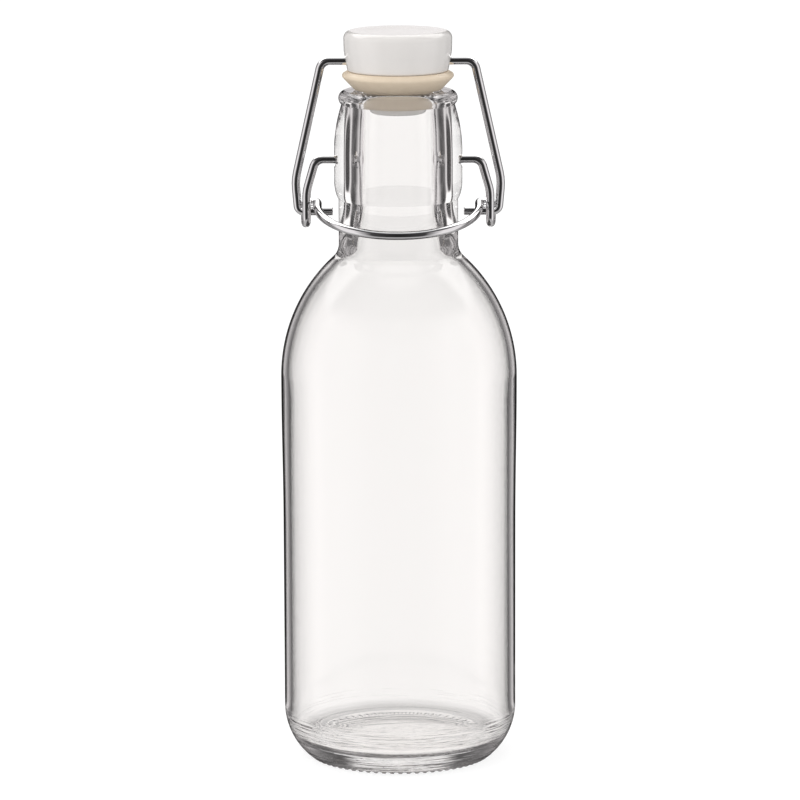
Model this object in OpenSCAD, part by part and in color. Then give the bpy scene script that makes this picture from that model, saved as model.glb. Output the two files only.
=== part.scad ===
// Swing top bottle: a glass bottle closed by a stopper that two sprung wires hold down.
// The base stands on z = 0 and the bottle's axis is the Z axis.
// The lever's thumb loop is in front, towards -Y. Everything is drawn closed, in millimetres.

/* [Bottle body] */
// Diameter of the body where the shoulder starts
body_d = 75.7; // [72:0.1:84]
// Height of the body, from the base to the start of the shoulder
body_h = 124.6; // [90:0.1:180]
// Radius of the shoulder's arc
shoulder_arc = 52; // [49:0.5:60]
// Depth of the label panel below the body's surface
panel_depth = 0.3; // [0.1:0.05:1]
// Height at which the label panel ends
panel_top = 84; // [60:1:88]
// Length of the soft step above the label panel
panel_step = 10; // [4:0.5:14]
// Thickness of the side wall and shoulder
wall = 2.3; // [1.8:0.1:3]

/* [Bottle base] */
// Radius of the rounded heel between the side and the base
heel_arc = 21; // [16:0.5:24]
// Distance from the side in to the ring that the bottle stands on
heel_inset = 8.1; // [6:0.1:9]
// Width of the ring that the bottle stands on
ring_w = 3; // [2.4:0.1:5]
// Height of the hollow under the base
push_up = 4.2; // [2:0.1:5]
// Thickness of the glass above the standing ring
base_h = 6.8; // [6:0.1:10]
// Rise of the inner floor at its middle
floor_rise = 1.6; // [0:0.1:2.5]
// Radius of the corner between the inner floor and the wall
floor_corner = 4.5; // [3:0.1:8]
// Number of grip notches round the standing ring
notches = 70; // [60:1:90]
// Radius of each grip notch
notch_r = 0.75; // [0.4:0.05:0.9]

/* [Neck] */
// Outer diameter of the neck
neck_d = 38.2; // [36:0.1:39]
// Height of the neck, from the shoulder's end to the mouth
neck_h = 50.2; // [48:0.1:60]
// Radius of the hollow corner between shoulder and neck, outside
root_arc = 4; // [3:0.1:5]
// Radius of the round corner between shoulder and neck, inside
throat_arc = 10; // [6:0.5:12]
// Diameter of the bore through the neck
bore_d = 24.6; // [24:0.1:26]
// Diameter of the thick collar that holds the lever's pins
collar_d = 40.9; // [40:0.1:41.4]
// Distance from the mouth down to the collar's lower edge
collar_drop = 34.8; // [32:0.1:36]
// Height of the collar's straight part
collar_h = 15.2; // [13:0.1:18]
// Diameter of the groove between the collar and the bead
groove_d = 36.4; // [36:0.1:37]
// Diameter of the bead round the mouth
bead_d = 38; // [37.4:0.1:39]
// Radius to which the bead and the lip are rounded
lip_arc = 2.5; // [2:0.1:2.6]

/* [Wires] */
// Diameter of the bail's and the lever's wire
wire_d = 2.7; // [2.3:0.05:2.8]
// Distance from the mouth down to the lever's pins
pivot_drop = 22.2; // [20:0.1:24]
// Depth to which the lever's pins enter the collar
pin_depth = 4.65; // [3:0.05:5]
// Distance from the lever's pins down to the bail's ends
eye_drop = 17; // [16:0.1:18]
// Distance by which the bail's ends lie behind the lever's pins
over_centre = 2; // [1:0.1:2.5]
// Distance between the lever's legs at the eyes
lever_w = 58.6; // [58:0.1:62]
// Distance between the lever's legs at the pins
lever_top_w = 52.7; // [50:0.1:55]
// Distance from the axis out to the front of the thumb loop
loop_reach = 26; // [25:0.1:32]
// Distance by which the thumb loop falls towards the front
loop_fall = 6.8; // [4:0.1:9]
// Radius of the thumb loop's corners
loop_arc = 24.8; // [18:0.1:24.8]
// Distance between the bail's legs at the stopper
bail_top_w = 48.6; // [46:0.1:52]
// Distance by which each bail leg bows out past its lower end
bail_bow = 0.9; // [0:0.1:2]

/* [Stopper] */
// Largest diameter of the stopper's head
head_d = 34.6; // [32:0.1:36]
// Height of the stopper's head
head_h = 12.9; // [11:0.1:16]
// Amount by which the head tapers in at its foot, on the radius
head_taper = 1.1; // [0.5:0.1:2]
// Radius of the head's upper edge
head_edge = 2.4; // [1:0.1:3]
// Diameter of the dish in the head's top
dish_d = 21.4; // [14:0.2:24]
// Depth of the dish in the head's top
dish_depth = 1.1; // [0.4:0.1:2]
// Height of the cross hole above the gasket
hole_h = 3.2; // [2.8:0.1:5]
// Diameter of the stem through the gasket
stem_d = 12; // [8:0.2:14]
// Diameter of the button that holds the gasket on
button_d = 18.2; // [16:0.1:19]
// Thickness of the button
button_h = 2.5; // [1.5:0.1:3]

/* [Gasket] */
// Largest diameter of the gasket's flange
flange_d = 35.6; // [33:0.1:37]
// Height of the gasket's flange
flange_h = 5.85; // [4.5:0.05:7]
// Diameter of the flange's seat on the mouth
seat_d = 28.2; // [27:0.1:30]
// Diameter of the gasket's plug
plug_d = 21.9; // [20:0.1:22]
// Depth of the plug below the mouth
plug_h = 5.7; // [4:0.1:7]

/* [Clearances] */
// Gap between each hinge pin and its hole, on the radius
pin_gap = 0.08; // [0.04:0.01:0.1]
// Gap between the gasket and the mouth, left for its squeeze
seal_gap = 0.25; // [0.2:0.01:0.4]
// Gap between wires that pass each other
wire_gap = 0.3; // [0.25:0.01:0.4]
// Gap between the gasket's hole and the stem, on the radius
stem_gap = 0.05; // [0.02:0.01:0.1]

/* [Hidden] */
$fn = 96;

// Colours of the pieces
glass_colour = [0.86, 0.91, 0.90, 0.45];
stopper_colour = [0.93, 0.92, 0.90];
gasket_colour = [0.80, 0.73, 0.64];
wire_colour = [0.78, 0.79, 0.81];

// Radii of the glass
body_r = body_d / 2;
panel_r = body_r - panel_depth;
neck_r = neck_d / 2;
bore_r = bore_d / 2;
collar_r = collar_d / 2;
groove_r = groove_d / 2;
bead_r = bead_d / 2;
ring_r = panel_r - heel_inset;
ring_in = ring_r - ring_w;

// The heel's arc meets the side at heel_h and the standing ring at z = 0
heel_h = sqrt(heel_arc * heel_arc - (heel_arc - heel_inset) * (heel_arc - heel_inset));
heel_sweep = acos((heel_arc - heel_inset) / heel_arc);

// The shoulder's arc and the hollow corner above it touch at shoulder_sweep
shoulder_c = body_r - shoulder_arc;
root_x = neck_r + root_arc;
root_rise = sqrt(pow(shoulder_arc + root_arc, 2) - pow(root_x - shoulder_c, 2));
shoulder_sweep = atan2(root_rise, root_x - shoulder_c);
root_z = body_h + root_rise;

// The inner shoulder lies one wall inside, and a round corner leads it into the bore
inner_arc = shoulder_arc - wall;
throat_x = bore_r + throat_arc;
throat_rise = sqrt(pow(inner_arc + throat_arc, 2) - pow(throat_x - shoulder_c, 2));
throat_sweep = atan2(throat_rise, throat_x - shoulder_c);
throat_z = body_h + throat_rise;

// Heights of the mouth, collar and bead
mouth_z = root_z + neck_h;
collar_z = mouth_z - collar_drop;
collar_step = 1.6;
bead_z = mouth_z - lip_arc;
bead_x = bead_r - lip_arc;
lip_x = bore_r + lip_arc;
groove_z = bead_z - lip_arc;

// The collar narrows to the groove along one arc
collar_top = collar_z + collar_h;
collar_fall = collar_r - groove_r;
collar_rise = groove_z - collar_top;
collar_arc = (collar_rise * collar_rise + collar_fall * collar_fall) / (2 * collar_fall);
collar_sweep = asin(collar_rise / collar_arc);

// Hinge lines, as [y, z]
wire_r = wire_d / 2;
pivot_z = mouth_z - pivot_drop;
eye_z = pivot_z - eye_drop;
seat_z = mouth_z + seal_gap;
head_z = seat_z + flange_h;
hole_z = head_z + hole_h;

// Half widths of the two wires
pin_x = collar_r - pin_depth;
lever_x = lever_w / 2;
lever_top_x = lever_top_w / 2;
eye_half = wire_d + wire_gap;
eye_lean = 0.6;
loop_x = lever_x - wire_d - 0.8;
bail_x = lever_x + wire_d;
stub_x = collar_r + 0.45;

// Bend radii of the wires
top_bend = 3.2;
knee_bend = 12;
eye_bend = eye_half - 0.2;
cross_bend = 2.2;
loop_bend = 3;
bow_bend = 18;
stub_bend = 2;

// A bend is drawn thinner by bend_thin and runs bend_lap into each straight beside it,
// so that the two never share a surface
bend_thin = 0.01;
bend_lap = 0.06;

// ---- Outlines ----

// Points of an arc round [x, z], from angle a to angle b
function arc(x, z, r, a, b, steps) =
    [for (i = [0:steps]) let (t = a + (b - a) * i / steps) [x + r * cos(t), z + r * sin(t)]];

// Outside of the bottle, from the standing ring up to the top of the bead
outside = concat(
    [[ring_in, 0]],
    arc(panel_r - heel_arc, heel_h, heel_arc, -heel_sweep, 0, 8),
    [[panel_r, panel_top]],
    [for (i = [1:4]) let (t = i / 4) [panel_r + panel_depth * (1 - cos(180 * t)) / 2, panel_top + panel_step * t]],
    arc(shoulder_c, body_h, shoulder_arc, 0, shoulder_sweep, 14),
    arc(root_x, root_z, root_arc, 180 + shoulder_sweep, 180, 6),
    arc(collar_r - collar_step, collar_z + collar_step, collar_step, -90, 0, 4),
    arc(collar_r - collar_arc, collar_top, collar_arc, 0, collar_sweep, 6),
    arc(bead_x, bead_z, lip_arc, -50, 90, 10)
);

// Inside of the bottle, from the lip down to the middle of the floor
inside = concat(
    arc(lip_x, bead_z, lip_arc, 90, 180, 6),
    arc(throat_x, throat_z, throat_arc, 180, 180 + throat_sweep, 8),
    arc(shoulder_c, body_h, inner_arc, throat_sweep, 0, 12),
    arc(panel_r - wall - floor_corner, base_h + floor_corner, floor_corner, 0, -90, 6),
    [for (i = [1:5]) let (t = 1 - i / 5) [t * (panel_r - wall - floor_corner), base_h + floor_rise * (1 - t * t)]]
);

// Hollow under the base, from the middle out to the standing ring
underside = [for (i = [0:5]) let (t = i / 6) [t * ring_in, push_up * (1 - t * t)]];

// ---- Wires ----

function unit(v) = v / norm(v);

// Angle through which the wire turns at point i of its path
function turn(path, i) =
    let (a = unit(path[i] - path[i - 1]), b = unit(path[i + 1] - path[i]))
    atan2(norm(cross(a, b)), a * b);

// Length that the bend at point i takes from each of the two straights that meet there
function setback(path, bends, i) =
    (i == 0 || i == len(path) - 1) ? 0 : bends[i] * tan(turn(path, i) / 2);

// The other half of a path, mirrored in the plane x = 0 and run backwards
function mirrored(path) = [for (i = [len(path) - 1:-1:0]) [-path[i][0], path[i][1], path[i][2]]];
function backwards(list) = [for (i = [len(list) - 1:-1:0]) list[i]];

// One straight length of wire from point a to point b
module straight(a, b) {
    d = b - a;
    translate(a)
        rotate([0, acos(d[2] / norm(d)), atan2(d[1], d[0])])
            cylinder(r = wire_r, h = norm(d));
}

// One bend round point p, between directions a and b
module bend(p, a, b, radius) {
    angle = atan2(norm(cross(a, b)), a * b);
    n = unit(cross(a, b));
    out = -unit(cross(n, a));
    start = p - a * radius * tan(angle / 2);
    middle = start - out * radius;
    lap = bend_lap / radius * 180 / PI;
    multmatrix([
        [out[0], a[0], n[0], middle[0]],
        [out[1], a[1], n[1], middle[1]],
        [out[2], a[2], n[2], middle[2]],
        [0, 0, 0, 1]
    ])
        rotate([0, 0, -lap])
            rotate_extrude(angle = angle + 2 * lap)
                translate([radius, 0])
                    circle(r = wire_r - bend_thin, $fn = 48);
}

// Round wire along a path of straights, with a bend of its own radius at each point
module wire(path, bends) {
    last = len(path) - 1;
    for (i = [0:last - 1])
        let (d = unit(path[i + 1] - path[i]))
            straight(path[i] + d * setback(path, bends, i),
                     path[i + 1] - d * setback(path, bends, i + 1));
    for (i = [1:last - 1])
        bend(path[i], unit(path[i] - path[i - 1]), unit(path[i + 1] - path[i]), bends[i]);
}

// ---- Pieces ----

// Socket in the collar's side for one of the lever's pins, with a flared mouth
module pin_socket() {
    socket_r = wire_r + pin_gap;
    flare = 0.9;
    translate([pin_x - 0.3, 0, pivot_z])
        rotate([0, 90, 0])
            cylinder(r = socket_r, h = pin_depth + 1);
    translate([collar_r - flare, 0, pivot_z])
        rotate([0, 90, 0])
            cylinder(r1 = socket_r, r2 = socket_r + flare + 0.3, h = flare + 0.3);
}

// Grip notches in the outer edge of the standing ring
module grip_notches() {
    for (i = [0:notches - 1])
        rotate([0, 90, i * 360 / notches])
            translate([0, 0, ring_r - ring_w / 2])
                cylinder(r = notch_r, h = ring_w, $fn = 24);
}

module glass_bottle() {
    color(glass_colour)
        difference() {
            rotate_extrude()
                polygon(concat(outside, inside, underside));
            pin_socket();
            mirror([1, 0, 0]) pin_socket();
            grip_notches();
        }
}

module stopper() {
    head_r = head_d / 2;
    foot_r = head_r - head_taper;
    top_z = head_z + head_h;
    button_z = mouth_z - plug_h - button_h;
    color(stopper_colour)
        difference() {
            rotate_extrude()
                polygon(concat(
                    [[0, button_z], [button_d / 2 - 0.6, button_z], [button_d / 2, button_z + 0.6]],
                    [[button_d / 2, button_z + button_h], [stem_d / 2, button_z + button_h]],
                    [[stem_d / 2, head_z], [foot_r - 0.4, head_z], [foot_r, head_z + 0.5]],
                    [[head_r - 0.1, head_z + head_h / 2]],
                    arc(head_r - head_edge, top_z - head_edge, head_edge, 0, 90, 6),
                    arc(dish_d / 2 + 0.8, top_z - 0.8, 0.8, 90, 150, 3),
                    [[dish_d / 2 - dish_depth, top_z - dish_depth], [0, top_z - dish_depth - 0.1]]
                ));
            translate([-head_r - 1, 0, hole_z])
                rotate([0, 90, 0])
                    cylinder(r = wire_r + pin_gap, h = head_d + 2);
        }
}

module gasket() {
    seat_r = seat_d / 2;
    flange_r = flange_d / 2;
    plug_r = plug_d / 2;
    hole_r = stem_d / 2 + stem_gap;
    // The flange is widest a short way below its top
    widest_z = head_z - 1.3;
    corner = 1.5;
    color(gasket_colour)
        rotate_extrude()
            polygon(concat(
                [[hole_r, mouth_z - plug_h], [plug_r - 0.1, mouth_z - plug_h]],
                arc(plug_r + corner, seat_z - corner, corner, 180, 90, 4),
                [[seat_r - 0.3, seat_z], [seat_r, seat_z + 0.2]],
                arc(flange_r - 0.5, widest_z, 0.5, -40, 40, 3),
                [[flange_r - 1.5, head_z], [hole_r, head_z]]
            ));
}

module bail() {
    bow_z = eye_z + 10;
    bow_y = over_centre * (hole_z - bow_z) / (hole_z - eye_z);
    half = [
        [bail_top_w / 2, 0, hole_z],
        [bail_x + bail_bow, bow_y, bow_z],
        [bail_x, over_centre, eye_z],
        [stub_x, over_centre, eye_z]
    ];
    bends = [top_bend, bow_bend, stub_bend, 0];
    color(wire_colour)
        wire(concat(mirrored(half), half), concat(backwards(bends), bends));
}

module lever() {
    front_y = over_centre - eye_half;
    back_y = over_centre + eye_half;
    foot_z = eye_z - eye_half - 0.8;
    cross_z = eye_z + eye_half + 0.05;
    knee_z = pivot_z - 10.2;
    loop_y = over_centre - 1;
    half = [
        [loop_x, -loop_reach, cross_z - loop_fall],
        [loop_x, loop_y, cross_z],
        [lever_x + eye_lean, back_y, cross_z],
        [lever_x + eye_lean, back_y, foot_z],
        [lever_x, front_y, foot_z],
        [lever_x, front_y, knee_z],
        [lever_top_x, 0, pivot_z],
        [pin_x, 0, pivot_z]
    ];
    bends = [loop_arc, loop_bend, cross_bend, eye_bend, eye_bend, knee_bend, top_bend, 0];
    color(wire_colour)
        wire(concat(mirrored(half), half), concat(backwards(bends), bends));
}

glass_bottle();
stopper();
gasket();
bail();
lever();
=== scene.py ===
import math

import bpy
from mathutils import Matrix, Vector


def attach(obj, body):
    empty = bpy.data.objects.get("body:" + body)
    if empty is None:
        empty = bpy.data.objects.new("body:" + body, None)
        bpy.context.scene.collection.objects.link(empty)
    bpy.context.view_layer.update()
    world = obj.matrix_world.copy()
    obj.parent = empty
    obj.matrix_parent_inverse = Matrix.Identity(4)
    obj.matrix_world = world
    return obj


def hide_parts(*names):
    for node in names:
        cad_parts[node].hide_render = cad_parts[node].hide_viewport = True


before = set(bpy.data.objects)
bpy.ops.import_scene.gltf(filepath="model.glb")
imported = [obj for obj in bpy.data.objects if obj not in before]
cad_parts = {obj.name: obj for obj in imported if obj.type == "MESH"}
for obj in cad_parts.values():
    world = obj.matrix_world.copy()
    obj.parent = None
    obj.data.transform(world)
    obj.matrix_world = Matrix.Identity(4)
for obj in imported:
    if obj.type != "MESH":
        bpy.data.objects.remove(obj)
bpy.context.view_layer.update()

# The front of the bottle is towards -Y, and its base stands on z = 0.
# Outlines and wire paths are in millimetres, as in the part's source.
MM = 0.001
MERGE = 2e-6

# ---- Sizes of the glass ----

# Body, with its shallow label panel
body_r = 37.85
body_h = 124.6
shoulder_arc = 52.0
panel_r = 37.45
panel_top = 77.0
panel_step = 45.0
wall = 2.3

# Base, with a notched ring to stand on
heel_arc = 21.0
heel_start = 4
ring_r = 29.45
ring_in = 26.45
push_up = 0.35
base_h = 6.8
floor_rise = 0.3
floor_corner = 3.0
notches = 70
notch_r = 0.75
notch_columns = 6
notch_reach = 1.5

# Neck, collar and bead
neck_r = 19.1
mouth_z = 216.614
root_arc = 6.0
throat_arc = 27.0
bore_r = 11.5
collar_r = 20.45
collar_drop = 34.8
collar_h = 15.2
foot_rise = 6.6
foot_start = 25
groove_r = 18.2
bead_r = 19.0
bead_start = -50
lip_arc = 2.5

# Sockets for the lever's pins, and the dents round them
socket_flare = 0.9
cut_over = 0.3
cutter_reach = 3
dent_r = 3.94
dent_out = 3.2
dent_drop = 0.4
dent_length = 24

floor_r = panel_r - wall - floor_corner
heel_h = math.sqrt(heel_arc**2 - (ring_r - panel_r + heel_arc) ** 2)
heel_sweep = math.degrees(math.acos((ring_r - panel_r + heel_arc) / heel_arc))
shoulder_c = body_r - shoulder_arc
root_x = neck_r + root_arc
root_rise = math.sqrt((shoulder_arc + root_arc) ** 2 - (root_x - shoulder_c) ** 2)
shoulder_sweep = math.degrees(math.atan2(root_rise, root_x - shoulder_c))
root_z = body_h + root_rise
inner_arc = shoulder_arc - wall
throat_x = bore_r + throat_arc
throat_rise = math.sqrt((inner_arc + throat_arc) ** 2 - (throat_x - shoulder_c) ** 2)
throat_sweep = math.degrees(math.atan2(throat_rise, throat_x - shoulder_c))
throat_z = body_h + throat_rise
collar_z = mouth_z - collar_drop
foot_in = (collar_r - neck_r) / (1 - math.sin(math.radians(foot_start)))
foot_cos = math.cos(math.radians(foot_start))
bead_z = mouth_z - lip_arc
bead_x = bead_r - lip_arc
lip_x = bore_r + lip_arc
groove_z = bead_z - lip_arc
collar_top = collar_z + collar_h
collar_rise = groove_z - collar_top
collar_fall = collar_r - groove_r
collar_arc = (collar_rise**2 + collar_fall**2) / (2 * collar_fall)
collar_sweep = math.degrees(math.asin(collar_rise / collar_arc))

# ---- Sizes of the wires ----

wire_r = 1.35
wire_sides = 32
wire_chamfer = 0.25
wire_tip = 0.82
wire_step = 5
wire_turn = 6
pivot_z = mouth_z - 22.2
eye_z = pivot_z - 17.0
seat_z = mouth_z + 0.25
head_z = seat_z + 5.85
hole_z = head_z + 3.2
over_centre = 2.0
pin_x = collar_r - 4.65
socket_r = wire_r + 0.08

lever_x = 29.3
lever_top_x = 26.35
eye_half = 3.0
eye_lean = 0.6
eye_top = eye_z + eye_half + 0.05
eye_foot = eye_z - eye_half - 0.8
eye_front = 1
knee_drop = 10.2
loop_x = lever_x - 3.5
loop_reach = 26.0
loop_fall = 6.8
loop_arc = 24.8
loop_bend = 3
eye_entry_bend = 2.2
eye_bend = eye_half - 0.2
knee_bend = 12
pin_bend = 3.2

bail_x = lever_x + 2.7
bail_top_x = 24.3
bail_bow = 0.9
bow_z = eye_z + 10
bow_bend = 18
stub_bend = 2
stub_x = collar_r + 0.45

# ---- Sizes of the stopper and the gasket ----

head_r = 17.3
head_h = 12.9
head_edge = 2.4
head_draft = 0.1
foot_r = 16.2
foot_edge = 0.9
dish_r = 10.2
dish_depth = 0.45
dish_edge = 4.4
dish_floor_r = 4
dish_fall = 0.1
stem_r = 6.0
button_r = 9.1
button_h = 2.5
button_edge = 0.8
hole_reach = 22
top_z = head_z + head_h

plug_r = 10.95
plug_h = 5.7
plug_z = mouth_z - plug_h
plug_corner = 1.5
plug_draft = 0.1
plug_edge_in = 0.4
plug_edge_up = 0.3
seat_r = 14.1
seat_edge_in = 0.3
seat_edge_up = 0.2
flange_r = 17.8
flange_edge = 0.9
flange_drop = 0.1
flange_under_in = 0.35
flange_under_h = 0.85
flange_top_in = 1.3
flange_top_h = 0.15
flange_face_in = 1.5
widest_z = head_z - 1.3
button_z = plug_z - button_h
gasket_hole_r = stem_r + 0.05


# ---- Shaping ----


def fresh():
    """Leaves edit mode with nothing selected."""
    if bpy.context.object and bpy.context.object.mode != "OBJECT":
        bpy.ops.object.mode_set(mode="OBJECT")
    bpy.ops.object.select_all(action="DESELECT")


def hold(piece):
    """Makes one piece the selected and active one."""
    fresh()
    piece.select_set(True)
    bpy.context.view_layer.objects.active = piece


def settle():
    """Puts the place, turn and scale of the selected piece into its mesh."""
    bpy.ops.object.transform_apply(location=True, rotation=True, scale=True)


def close_seams():
    """In edit mode, merges doubled vertices and turns every face outwards."""
    bpy.ops.mesh.select_all(action="SELECT")
    bpy.ops.mesh.remove_doubles(threshold=MERGE)
    bpy.ops.mesh.select_all(action="SELECT")
    bpy.ops.mesh.normals_make_consistent(inside=False)
    fresh()


def arc(x, z, r, start, end, steps):
    """Points of an arc round (x, z), with its angles in degrees."""
    points = []
    for i in range(steps + 1):
        t = math.radians(start + (end - start) * i / steps)
        points.append((x + r * math.cos(t), z + r * math.sin(t)))
    return points


def run(a, b, steps):
    """Points of a straight from a to b, without a itself."""
    across = b[0] - a[0]
    up = b[1] - a[1]
    return [(a[0] + across * i / steps, a[1] + up * i / steps) for i in range(1, steps + 1)]


def span(start, stop, parts):
    """A long straight stretch: run's first step and last step, with nothing between them."""
    points = run(start, stop, parts)
    return points[:1] + points[-2:]


def ease(part):
    """A smooth rise from 0 to 1 as part goes from 0 to 1."""
    return (1 - math.cos(math.pi * part)) / 2


def lathe(name, outline, steps):
    """Draws an outline of (radius, height) point by point and turns it round the axis."""
    fresh()
    x, z = outline[0]
    bpy.ops.mesh.primitive_plane_add(size=0.001, location=(x * MM, 0, z * MM))
    piece = bpy.context.object
    piece.name = name
    settle()
    bpy.ops.object.mode_set(mode="EDIT")
    bpy.ops.mesh.select_all(action="SELECT")
    bpy.ops.mesh.merge(type="CENTER")
    for next_x, next_z in outline[1:]:
        step = ((next_x - x) * MM, 0, (next_z - z) * MM)
        if abs(step[0]) + abs(step[2]) > MERGE / 2:
            bpy.ops.mesh.extrude_region_move(TRANSFORM_OT_translate={"value": step})
            x, z = next_x, next_z
    bpy.ops.object.mode_set(mode="OBJECT")
    bpy.ops.object.modifier_add(type="SCREW")
    turning = piece.modifiers[-1]
    turning.steps = steps
    turning.render_steps = steps
    turning.use_merge_vertices = True
    turning.merge_threshold = MERGE
    bpy.ops.object.modifier_apply(modifier=turning.name)
    bpy.ops.object.mode_set(mode="EDIT")
    close_seams()
    return piece


def pick(piece, test):
    """Selects the vertices whose place passes the test, ready for edit mode."""
    hold(piece)
    bpy.ops.object.mode_set(mode="EDIT")
    bpy.ops.mesh.select_mode(type="VERT")
    bpy.ops.mesh.select_all(action="DESELECT")
    bpy.ops.object.mode_set(mode="OBJECT")
    for v in piece.data.vertices:
        if test(v.co):
            v.select = True
    bpy.ops.object.mode_set(mode="EDIT")


def cut(piece, cutter):
    """Takes the cutter's shape out of the piece and removes the cutter."""
    hold(piece)
    bpy.ops.object.modifier_add(type="BOOLEAN")
    modifier = piece.modifiers[-1]
    modifier.operation = "DIFFERENCE"
    modifier.solver = "EXACT"
    modifier.object = cutter
    bpy.ops.object.modifier_apply(modifier=modifier.name)
    bpy.data.objects.remove(cutter)


def smooth(piece, angle):
    """Shades smooth across edges that turn by less than the angle, in degrees."""
    hold(piece)
    bpy.ops.object.shade_smooth_by_angle(angle=math.radians(angle))
    fresh()


def close_end(end, heading):
    """Chamfers and closes the selected open end of a wire."""
    chamfer = heading * wire_chamfer * MM
    bpy.ops.mesh.extrude_edges_move(TRANSFORM_OT_translate={"value": chamfer})
    bpy.ops.transform.resize(value=(wire_tip, wire_tip, wire_tip), center_override=end + chamfer)
    bpy.ops.mesh.edge_face_add()


def form_wire(name, path, bends):
    """Draws a wire's round section along a path, spinning it through each bend."""
    fresh()
    points = [Vector(p) * MM for p in path]
    last = len(points) - 1
    first_heading = (points[1] - points[0]).normalized()
    start = points[0] + first_heading * wire_chamfer * MM
    bpy.ops.mesh.primitive_circle_add(
        vertices=wire_sides,
        radius=wire_r * MM,
        fill_type="NOTHING",
        location=start,
        rotation=first_heading.to_track_quat("Z", "Y").to_euler(),
    )
    piece = bpy.context.object
    piece.name = name
    settle()
    bpy.ops.object.mode_set(mode="EDIT")
    bpy.ops.mesh.select_all(action="SELECT")
    tip = start
    for i in range(1, last + 1):
        heading = (points[i] - points[i - 1]).normalized()
        back = wire_chamfer * MM
        if i < last:
            ahead = (points[i + 1] - points[i]).normalized()
            turn = heading.angle(ahead)
            back = bends[i] * MM * math.tan(turn / 2)
        stop = points[i] - heading * back
        length = (stop - tip).length
        parts = max(1, math.ceil(length / (wire_step * MM)))
        for _ in range(parts):
            bpy.ops.mesh.extrude_edges_move(TRANSFORM_OT_translate={"value": (stop - tip) / parts})
        tip = stop
        if i < last:
            axle = heading.cross(ahead).normalized()
            centre = stop + axle.cross(heading) * bends[i] * MM
            steps = max(3, math.ceil(math.degrees(turn) / wire_turn))
            bpy.ops.mesh.spin(steps=steps, angle=-turn, center=centre, axis=axle)
            tip = points[i] + ahead * back
    close_end(tip, heading)
    fresh()
    pick(piece, lambda co: (co - start).length < wire_r * 1.1 * MM)
    close_end(start, -first_heading)
    close_seams()
    smooth(piece, 40)
    return piece


def both_sides(half):
    """A path drawn on the right, joined to its mirror image on the left."""
    return [(-x, y, z) for x, y, z in reversed(half)] + half


# ---- Bottle ----

outside = (
    [(ring_in, 0)]
    + run((ring_in, 0), (ring_r, 0), 5)
    + arc(panel_r - heel_arc, heel_h, heel_arc, -heel_sweep, -heel_sweep + heel_start, 3)
    + arc(panel_r - heel_arc, heel_h, heel_arc, -heel_sweep + heel_start, 0, 18)
    + span((panel_r, heel_h), (panel_r, panel_top), 12)
    + [
        (panel_r + (body_r - panel_r) * ease(i / 12), panel_top + panel_step * i / 12)
        for i in range(1, 13)
    ]
    + run((body_r, panel_top + panel_step), (body_r, body_h), 2)
    + arc(shoulder_c, body_h, shoulder_arc, 0, shoulder_sweep, 28)
    + arc(root_x, root_z, root_arc, 180 + shoulder_sweep, 180, 8)
    + run((neck_r, root_z), (neck_r, collar_z), 6)
    + [
        (collar_r - foot_in * (1 - math.sin(turn)), collar_z + foot_rise * (foot_cos - math.cos(turn)))
        for turn in (math.radians(foot_start + (90 - foot_start) * i / 12) for i in range(1, 13))
    ]
    + run((collar_r, collar_z + foot_rise * foot_cos), (collar_r, collar_top), 8)
    + arc(collar_r - collar_arc, collar_top, collar_arc, 0, collar_sweep, 12)
    + arc(bead_x, bead_z, lip_arc, bead_start, 90, 14)
)
inside = (
    arc(lip_x, bead_z, lip_arc, 90, 180, 10)
    + run((bore_r, bead_z), (bore_r, throat_z), 10)
    + arc(throat_x, throat_z, throat_arc, 180, 180 + throat_sweep, 10)
    + arc(shoulder_c, body_h, inner_arc, throat_sweep, 0, 24)
    + span((panel_r - wall, body_h), (panel_r - wall, base_h + floor_corner), 20)
    + arc(floor_r, base_h + floor_corner, floor_corner, 0, -90, 10)
    + [(floor_r * (1 - i / 12), base_h + floor_rise * (1 - (1 - i / 12) ** 2)) for i in range(1, 13)]
)
underside = [(i / 8 * ring_in, push_up * (1 - (i / 8) ** 2)) for i in range(8)]

glass = lathe("glass_visual", underside + outside + inside, notches * notch_columns)

# Each grip notch is flattened upwards, column by column, by the depth of a round cut
column_turn = math.tau / (notches * notch_columns)
for column in (-1, 0, 1):
    offset = math.sin(abs(column) * column_turn) * ring_r
    rise = math.sqrt(notch_r**2 - offset**2)

    def in_column(co, column=column, rise=rise):
        if co.z > rise * MM or co.xy.length < (ring_r - notch_reach) * MM:
            return False
        place = math.atan2(co.y, co.x) / column_turn
        return abs((place - column + notch_columns / 2) % notch_columns - notch_columns / 2) < 0.2

    pick(glass, in_column)
    bpy.ops.transform.resize(value=(1, 1, 0), center_override=(0, 0, rise * MM))
fresh()

# Each socket flares at its mouth, and a shallow dent runs across the collar round it
for side in (1, -1):
    socket = lathe(
        "socket_cutter",
        [
            (0, pin_x - cut_over),
            (socket_r, pin_x - cut_over),
            (socket_r, collar_r - socket_flare),
            (socket_r + socket_flare + cut_over, collar_r + cut_over),
            (socket_r + socket_flare + cut_over, collar_r + cutter_reach),
            (0, collar_r + cutter_reach),
        ],
        32,
    )
    hold(socket)
    socket.rotation_euler = (0, side * math.pi / 2, 0)
    socket.location = (0, 0, pivot_z * MM)
    settle()
    cut(glass, socket)
    fresh()
    bpy.ops.mesh.primitive_cylinder_add(
        vertices=96,
        radius=dent_r * MM,
        depth=dent_length * MM,
        location=(side * (collar_r + dent_out) * MM, 0, (pivot_z - dent_drop) * MM),
        rotation=(math.pi / 2, 0, 0),
    )
    dent = bpy.context.object
    settle()
    cut(glass, dent)
smooth(glass, 30)

# ---- Wires ----

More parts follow.
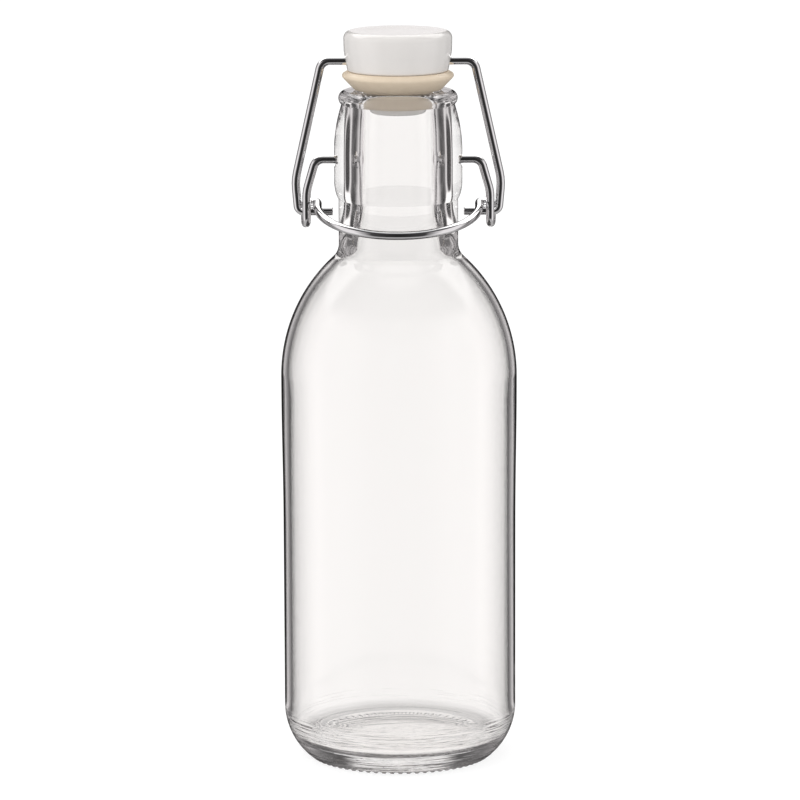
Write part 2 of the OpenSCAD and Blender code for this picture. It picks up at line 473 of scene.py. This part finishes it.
lever_half = [
    (loop_x, -loop_reach, eye_top - loop_fall),
    (loop_x, over_centre - eye_front, eye_top),
    (lever_x + eye_lean, over_centre + eye_half, eye_top),
    (lever_x + eye_lean, over_centre + eye_half, eye_foot),
    (lever_x, over_centre - eye_half, eye_foot),
    (lever_x, over_centre - eye_half, pivot_z - knee_drop),
    (lever_top_x, 0, pivot_z),
    (pin_x, 0, pivot_z),
]
lever_bends = [loop_arc, loop_bend, eye_entry_bend, eye_bend, eye_bend, knee_bend, pin_bend, 0]
lever = form_wire("lever_visual", both_sides(lever_half), lever_bends[::-1] + lever_bends)

bail_half = [
    (bail_top_x, 0, hole_z),
    (bail_x + bail_bow, over_centre * (hole_z - bow_z) / (hole_z - eye_z), bow_z),
    (bail_x, over_centre, eye_z),
    (stub_x, over_centre, eye_z),
]
bail_bends = [pin_bend, bow_bend, stub_bend, 0]
bail = form_wire("bail_visual", both_sides(bail_half), bail_bends[::-1] + bail_bends)

# ---- Stopper ----

stopper = lathe(
    "stopper_visual",
    [(0, button_z)]
    + run((0, button_z), (button_r - button_edge, button_z), 3)
    + arc(button_r - button_edge, button_z + button_edge, button_edge, -90, 0, 4)
    + [(button_r, button_z + button_h), (stem_r, button_z + button_h), (stem_r, head_z)]
    + [(foot_r - foot_edge, head_z)]
    + arc(foot_r - foot_edge, head_z + foot_edge, foot_edge, -90, -5, 8)
    + run((foot_r, head_z + foot_edge), (head_r - head_draft, head_z + head_h / 2), 5)
    + arc(head_r - head_edge, top_z - head_edge, head_edge, 0, 90, 10)
    + [(dish_r + dish_edge * (0.5 - i / 8), top_z - dish_depth * ease(i / 8)) for i in range(9)]
    + [(dish_floor_r, top_z - dish_depth - dish_fall), (0, top_z - dish_depth - dish_fall)],
    128,
)
cross_outline = [(0, -hole_reach), (socket_r, -hole_reach), (socket_r, hole_reach), (0, hole_reach)]
cross_hole = lathe("hole_cutter", cross_outline, 32)
hold(cross_hole)
cross_hole.rotation_euler = (0, math.pi / 2, 0)
cross_hole.location = (0, 0, hole_z * MM)
settle()
cut(stopper, cross_hole)
smooth(stopper, 35)

# ---- Gasket ----

gasket_outline = (
    [(gasket_hole_r, plug_z), (plug_r - plug_edge_in, plug_z), (plug_r - plug_draft, plug_z + plug_edge_up)]
    + arc(plug_r + plug_corner, seat_z - plug_corner, plug_corner, 180, 90, 8)
    + [(seat_r - seat_edge_in, seat_z), (seat_r, seat_z + seat_edge_up)]
    + run((seat_r, seat_z + seat_edge_up), (flange_r - flange_under_in, widest_z - flange_under_h), 5)
    + arc(flange_r - flange_edge, widest_z - flange_drop, flange_edge, -46, 48, 10)
    + [(flange_r - flange_top_in, head_z - flange_top_h)]
    + [(flange_r - flange_face_in, head_z), (gasket_hole_r, head_z)]
)
gasket = lathe("gasket_visual", gasket_outline + gasket_outline[:1], 128)
smooth(gasket, 35)

# ---- Shader sums ----


class Sum:
    """A socket that takes part in sums; each sum adds its Math nodes."""

    def __init__(self, shader, socket):
        self.shader = shader
        self.socket = socket

    def math(self, operation, *others):
        inputs = {0: self}
        for place, other in enumerate(others):
            inputs[place + 1] = other
        return self.shader.add("ShaderNodeMath", {"operation": operation}, inputs)

    def __add__(self, other):
        return self.math("ADD", other)

    __radd__ = __add__

    def __mul__(self, other):
        return self.math("MULTIPLY", other)

    __rmul__ = __mul__

    def __sub__(self, other):
        return self.math("SUBTRACT", other)

    def __rsub__(self, other):
        return self.shader.add("ShaderNodeMath", {"operation": "SUBTRACT"}, {0: other, 1: self})

    def __truediv__(self, other):
        return self.math("DIVIDE", other)


class Shader:
    """Adds nodes to one material's or the world's tree."""

    def __init__(self, tree):
        self.tree = tree
        tree.nodes.clear()

    def add(self, kind, settings=None, inputs=None, output=0):
        """One node with its settings and the values or links of its sockets."""
        node = self.tree.nodes.new(kind)
        for key, value in (settings or {}).items():
            setattr(node, key, value)
        for key, value in (inputs or {}).items():
            if isinstance(value, Sum):
                self.tree.links.new(value.socket, node.inputs[key])
            else:
                node.inputs[key].default_value = value
        return Sum(self, node.outputs[output]) if node.outputs else node

    def end(self, kind, surface):
        """The output node that takes the finished surface."""
        self.add(kind, None, {"Surface": surface})

    def split(self, vector):
        """The three parts of a vector."""
        node = self.add("ShaderNodeSeparateXYZ", None, {"Vector": vector}).socket.node
        return [Sum(self, part) for part in node.outputs]

    def noise(self, place, scale, detail):
        """An even noise at a place; a larger scale is finer."""
        return self.add("ShaderNodeTexNoise", None, {"Vector": place, "Scale": scale, "Detail": detail})

    def stretched(self, place, scales, detail):
        """A noise stretched by its own scale along each axis."""
        mapped = self.add("ShaderNodeMapping", None, {"Vector": place, "Scale": scales})
        return self.noise(mapped, 1.0, detail)

    def bump(self, strength, distance, height):
        """A normal that follows a height."""
        inputs = {"Strength": strength, "Distance": distance, "Height": height}
        return self.add("ShaderNodeBump", None, inputs)

    def mix(self, factor, a, b):
        """Colour a at factor 0 and b at 1."""
        return self.add("ShaderNodeMix", {"data_type": "RGBA"}, {"Factor": factor, "A": a, "B": b}, output=2)

    def band(self, value, start, stop):
        """0 below start, 1 above stop and smooth between."""
        return self.add(
            "ShaderNodeMapRange",
            {"interpolation_type": "SMOOTHSTEP"},
            {"Value": value, "From Min": start, "From Max": stop},
        )

    def strip(self, value, stops):
        """Grey strips along a value from 0 to 1, a little warmer than neutral."""
        strips = self.add("ShaderNodeValToRGB", None, {"Fac": value})
        ramp = strips.socket.node.color_ramp
        while len(ramp.elements) < len(stops):
            ramp.elements.new(0.5)
        for element, (place, grey) in zip(ramp.elements, stops):
            element.position = place
            element.color = (grey, grey * 0.965, grey * 0.975, 1)
        return strips


# ---- Finishes ----


def finish(name):
    """A new material, its shader and the place on the piece that its patterns read."""
    material = bpy.data.materials.new(name)
    material.use_nodes = True
    s = Shader(material.node_tree)
    return material, s, s.add("ShaderNodeTexCoord", output="Object")


def surface(s, inputs):
    """Ends a material in one Principled surface."""
    s.end("ShaderNodeOutputMaterial", s.add("ShaderNodeBsdfPrincipled", None, inputs))


def clear_glass():
    """Clear glass with slow ripples, rolled streaks near the base and painted shade on the heel: a grey tint
    broken up by the streaks.
    """
    material, s, place = finish("clear_flint_glass")
    ripple = s.stretched(place, (55, 55, 9), 0.0)
    streaks = s.stretched(place, (32, 32, 850), 2.0)
    x, y, level = s.split(place)
    out = (x * x + y * y).math("SQRT")
    near_base = (1 - s.band(level, 0.011, 0.017)) * s.band(out, 0.0275, 0.031)
    # Painted shade: the heel's glass is tinted grey, broken up by the streak noise, so that the heel looks
    # shaded.
    heel = (1 - s.band(level, 0.0062, 0.0092)) * s.band(out, 0.0288, 0.0312)
    streaked_heel_shade = heel * (streaks * 1.7).math("MINIMUM", 1.0)
    surface(
        s,
        {
            "Base Color": s.mix(streaked_heel_shade, (0.97, 0.959, 0.951, 1), (0.72, 0.71, 0.705, 1)),
            "Roughness": 0.0,
            "IOR": 1.5,
            "Transmission Weight": 1.0,
            "Normal": s.bump(0.3, 0.0004, ripple * 0.6 + streaks * near_base * 4.0),
        },
    )
    return material


def white_glaze():
    """Glossy white, with painted light below the mouth: the part seen through the glass is made paler to
    brighten it.
    """
    material, s, place = finish("glazed_white_stopper")
    cloud = s.noise(place, 90.0, 2.0)
    tone = s.mix(cloud, (0.765, 0.735, 0.71, 1), (0.815, 0.79, 0.77, 1))
    level = s.split(place)[2]
    # Painted light: below the mouth the glaze turns paler, lighting the part that sits in shade behind the
    # glass.
    tone = s.mix(s.band(level, mouth_z * MM, (mouth_z + 1) * MM), (0.99, 0.975, 0.96, 1), tone)
    surface(s, {"Base Color": tone, "Roughness": 0.1 + cloud * 0.06})
    return material


def tan_rubber():
    """Mottled tan with a fine grain, with painted light below the mouth: the plug seen through the glass is
    made paler to brighten it.
    """
    material, s, place = finish("tan_rubber")
    mottle = s.noise(place, 400.0, 3.0)
    grain = s.noise(place, 2600.0, 2.0)
    tone = s.mix(mottle, (0.74, 0.61, 0.455, 1), (0.84, 0.71, 0.555, 1))
    level = s.split(place)[2]
    # Painted light: below the mouth the rubber turns paler, lighting the plug that sits in shade inside the
    # bore.
    tone = s.mix(s.band(level, (mouth_z - 1) * MM, mouth_z * MM), (0.97, 0.85, 0.7, 1), tone)
    relief = s.bump(0.3, 0.00008, grain)
    surface(s, {"Base Color": tone, "Roughness": 0.36 + mottle * 0.12, "Normal": relief})
    return material


def plated_wire():
    """Bright drawn wire with faint streaks."""
    material, s, place = finish("plated_steel_wire")
    streak = s.noise(place, 900.0, 2.0)
    tone = s.mix(streak, (0.78, 0.78, 0.785, 1), (0.88, 0.88, 0.885, 1))
    surface(s, {"Base Color": tone, "Metallic": 1.0, "Roughness": 0.03 + streak * 0.05})
    return material


def dress(piece, material):
    piece.data.materials.clear()
    piece.data.materials.append(material)


wire_finish = plated_wire()
for piece, body, node, material, slot in (
    (glass, "bottle", "glass_bottle", clear_glass(), "glass"),
    (stopper, "stopper", "stopper", white_glaze(), "stopper"),
    (gasket, "stopper", "gasket", tan_rubber(), "gasket"),
    (lever, "lever", "lever", wire_finish, "wire"),
    (bail, "bail", "bail", wire_finish, "wire"),
):
    dress(piece, material)
    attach(piece, body)
    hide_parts(node)

# ---- Studio ----


def ray_kinds(s):
    """Masks: rays that show the object, those that met no mirror, those that stayed outside glass."""
    shown = s.add("ShaderNodeLightPath", output="Is Camera Ray")
    path = shown.socket.node
    glossy = Sum(s, path.outputs["Is Glossy Ray"])
    passed = Sum(s, path.outputs["Is Transmission Ray"])
    scattered = Sum(s, path.outputs["Diffuse Depth"]).math("MINIMUM", 1.0)
    mirrored = Sum(s, path.outputs["Glossy Depth"]).math("MINIMUM", 1.0)
    entered = Sum(s, path.outputs["Transmission Depth"]).math("MINIMUM", 1.0)
    seen = (shown + glossy + passed).math("MINIMUM", 1.0) * (1 - scattered)
    return seen, 1 - mirrored, 1 - entered


# Through glass: flags and pale panels ringed round the line of sight, as (degrees from it, grey)
sight_fall = math.radians(10.5)
rings = [
    (0, 0.02),
    (12, 0.03),
    (15, 0.22),
    (18, 0.75),
    (21, 0.85),
    (24, 0.5),
    (28, 0.15),
    (32, 0.09),
    (38, 0.05),
    (46, 0.07),
    (52, 0.35),
    (58, 0.7),
    (80, 0.8),
    (92, 0.45),
    (110, 0.3),
    (135, 0.45),
    (180, 0.4),
]

# On bare metal and glaze: a softbox at each side, as (share of the half turn from the back, grey)
boxes = [
    (0.0, 0.9),
    (0.015, 0.9),
    (0.03, 0.03),
    (0.115, 0.03),
    (0.14, 0.42),
    (0.21, 0.42),
    (0.25, 0.08),
    (0.3, 0.1),
    (0.34, 0.45),
    (0.4, 0.35),
    (0.43, 0.15),
    (0.52, 0.95),
    (0.68, 0.95),
    (0.82, 0.06),
    (1.0, 0.02),
]


def through_glass(s, heading, climb):
    """What glass shows: the rings, a bright band straight ahead, a dark one over it and a dark floor."""
    east, north = s.split(heading)[:2]
    sight = (0, math.cos(sight_fall), -math.sin(sight_fall))
    dot = {"operation": "DOT_PRODUCT"}
    ahead = s.add("ShaderNodeVectorMath", dot, {0: heading, 1: sight}, output="Value")
    aside = ahead.math("ARCCOSINE") / math.pi
    seen = s.strip(aside, [(angle / 180, grey) for angle, grey in rings])
    above = s.band(climb, 2.0, 7.0) * (1 - s.band(climb, 20.0, 27.0)) * s.band(north, 0.5, 0.8)
    above = above * (1 - s.band(east.math("ABSOLUTE"), 0.25, 0.42))
    seen = s.mix(above, seen, (1.3, 1.28, 1.27, 1))
    high = s.band(climb, 25.0, 33.0) * (1 - s.band(climb, 62.0, 75.0))
    seen = s.mix(high * 0.85, seen, (0.05, 0.048, 0.05, 1))
    return s.mix(s.band(climb * -1, 34.0, 42.0), seen, (0.03, 0.029, 0.03, 1))


def on_bare_surfaces(s, heading, climb):
    """What metal and glaze show: the softboxes, a dark ceiling with a pale middle, a bright bank behind."""
    east, north = s.split(heading)[:2]
    bearing = east.math("ARCTAN2", north).math("ABSOLUTE") / math.pi
    seen = s.strip(bearing, boxes)
    seen = s.mix(s.band(climb, 28.0, 48.0), seen, (0.06, 0.057, 0.06, 1))
    seen = s.mix(s.band(climb, 60.0, 78.0), seen, (0.9, 0.9, 0.9, 1))
    rising = s.band(climb, 25.0, 34.0) * (1 - s.band(climb, 60.0, 74.0)) * s.band(north, 0.0, 0.25)
    seen = s.mix(rising, seen, (2.75, 2.72, 2.7, 1))
    return s.mix(s.band(climb * -1, 30.0, 48.0), seen, (0.5, 0.49, 0.49, 1))


def soft_light(s, heading, climb):
    """What lights the object: nearly even, dimmer from above and from the east."""
    east = s.split(heading)[0]
    soft = s.mix(s.band(climb, -20.0, 70.0), (1.1, 1.1, 1.11, 1), (0.9, 0.9, 0.895, 1))
    return s.mix(s.band(east, 0.1, 0.9) * 0.22, soft, (0.4, 0.41, 0.43, 1))


world = bpy.data.worlds.new("studio")
bpy.context.scene.world = world
world.use_nodes = True
s = Shader(world.node_tree)
heading = s.add("ShaderNodeTexCoord", output="Generated")
climb = s.split(heading)[2].math("ARCSINE") * (180 / math.pi)
seen, clear, outside_glass = ray_kinds(s)
shown = s.mix(outside_glass, through_glass(s, heading, climb), on_bare_surfaces(s, heading, climb))
shown = s.mix(clear, shown, (1.0, 1.0, 1.0, 1))
lit = s.mix(seen, soft_light(s, heading, climb), shown)
s.end("ShaderNodeOutputWorld", s.add("ShaderNodeBackground", None, {"Color": lit, "Strength": 1.0}))

# The table shows white to the camera and in glass, and keeps the bottle's shadow
fresh()
bpy.ops.mesh.primitive_plane_add(size=30, location=(0, 0, -0.0001))
floor = bpy.context.object
floor.name = "studio_floor"
table = bpy.data.materials.new("white_table")
table.use_nodes = True
table.cycles.emission_sampling = "NONE"
s = Shader(table.node_tree)
seen, clear, outside_glass = ray_kinds(s)
table_white = s.add("ShaderNodeBsdfDiffuse", None, {"Color": (0.8, 0.8, 0.8, 1)})
shadowed = s.add("ShaderNodeBsdfDiffuse", None, {"Color": (0.3, 0.3, 0.3, 1)})
glow = s.add("ShaderNodeEmission", None, {"Color": (1, 1, 1, 1), "Strength": 0.82})
table_seen = s.add("ShaderNodeAddShader", None, {0: shadowed, 1: glow})
open_air = s.add("ShaderNodeBsdfTransparent")
table_shown = s.add("ShaderNodeMixShader", None, {0: clear, 1: open_air, 2: table_seen})
table_surface = s.add("ShaderNodeMixShader", None, {0: seen, 1: table_white, 2: table_shown})
s.end("ShaderNodeOutputMaterial", table_surface)
dress(floor, table)

fresh()
bpy.ops.object.light_add(type="AREA", location=(-0.75, -0.85, 1.35))
lamp = bpy.context.object
lamp.name = "softbox"
lamp.data.shape = "SQUARE"
lamp.data.size = 0.8
lamp.data.energy = 4
lamp.visible_glossy = False
lamp.visible_transmission = False
lamp_aim = Vector((0, 0, 0.15)) - lamp.location
lamp.rotation_euler = lamp_aim.to_track_quat("-Z", "Y").to_euler()

# ---- Camera ----

# A long lens at a distance, in metres, looking down a little
camera_place = (0, -1.55, 0.405)
camera_target = (0.0003, 0, 0.1163)
camera_roll = -0.2

fresh()
bpy.ops.object.camera_add(location=camera_place)
camera = bpy.context.object
camera.name = "camera"
aim = (Vector(camera_target) - camera.location).to_track_quat("-Z", "Y")
roll = Matrix.Rotation(math.radians(camera_roll), 3, "Z")
camera.rotation_euler = (aim.to_matrix() @ roll).to_euler()
camera.data.lens = 220.6
camera.data.sensor_width = 36

scene = bpy.context.scene
scene.camera = camera
scene.view_settings.view_transform = "Standard"
scene.cycles.max_bounces = 32
scene.cycles.glossy_bounces = 24
scene.cycles.transmission_bounces = 32
scene.cycles.transparent_max_bounces = 16

bpy.context.view_layer.update()
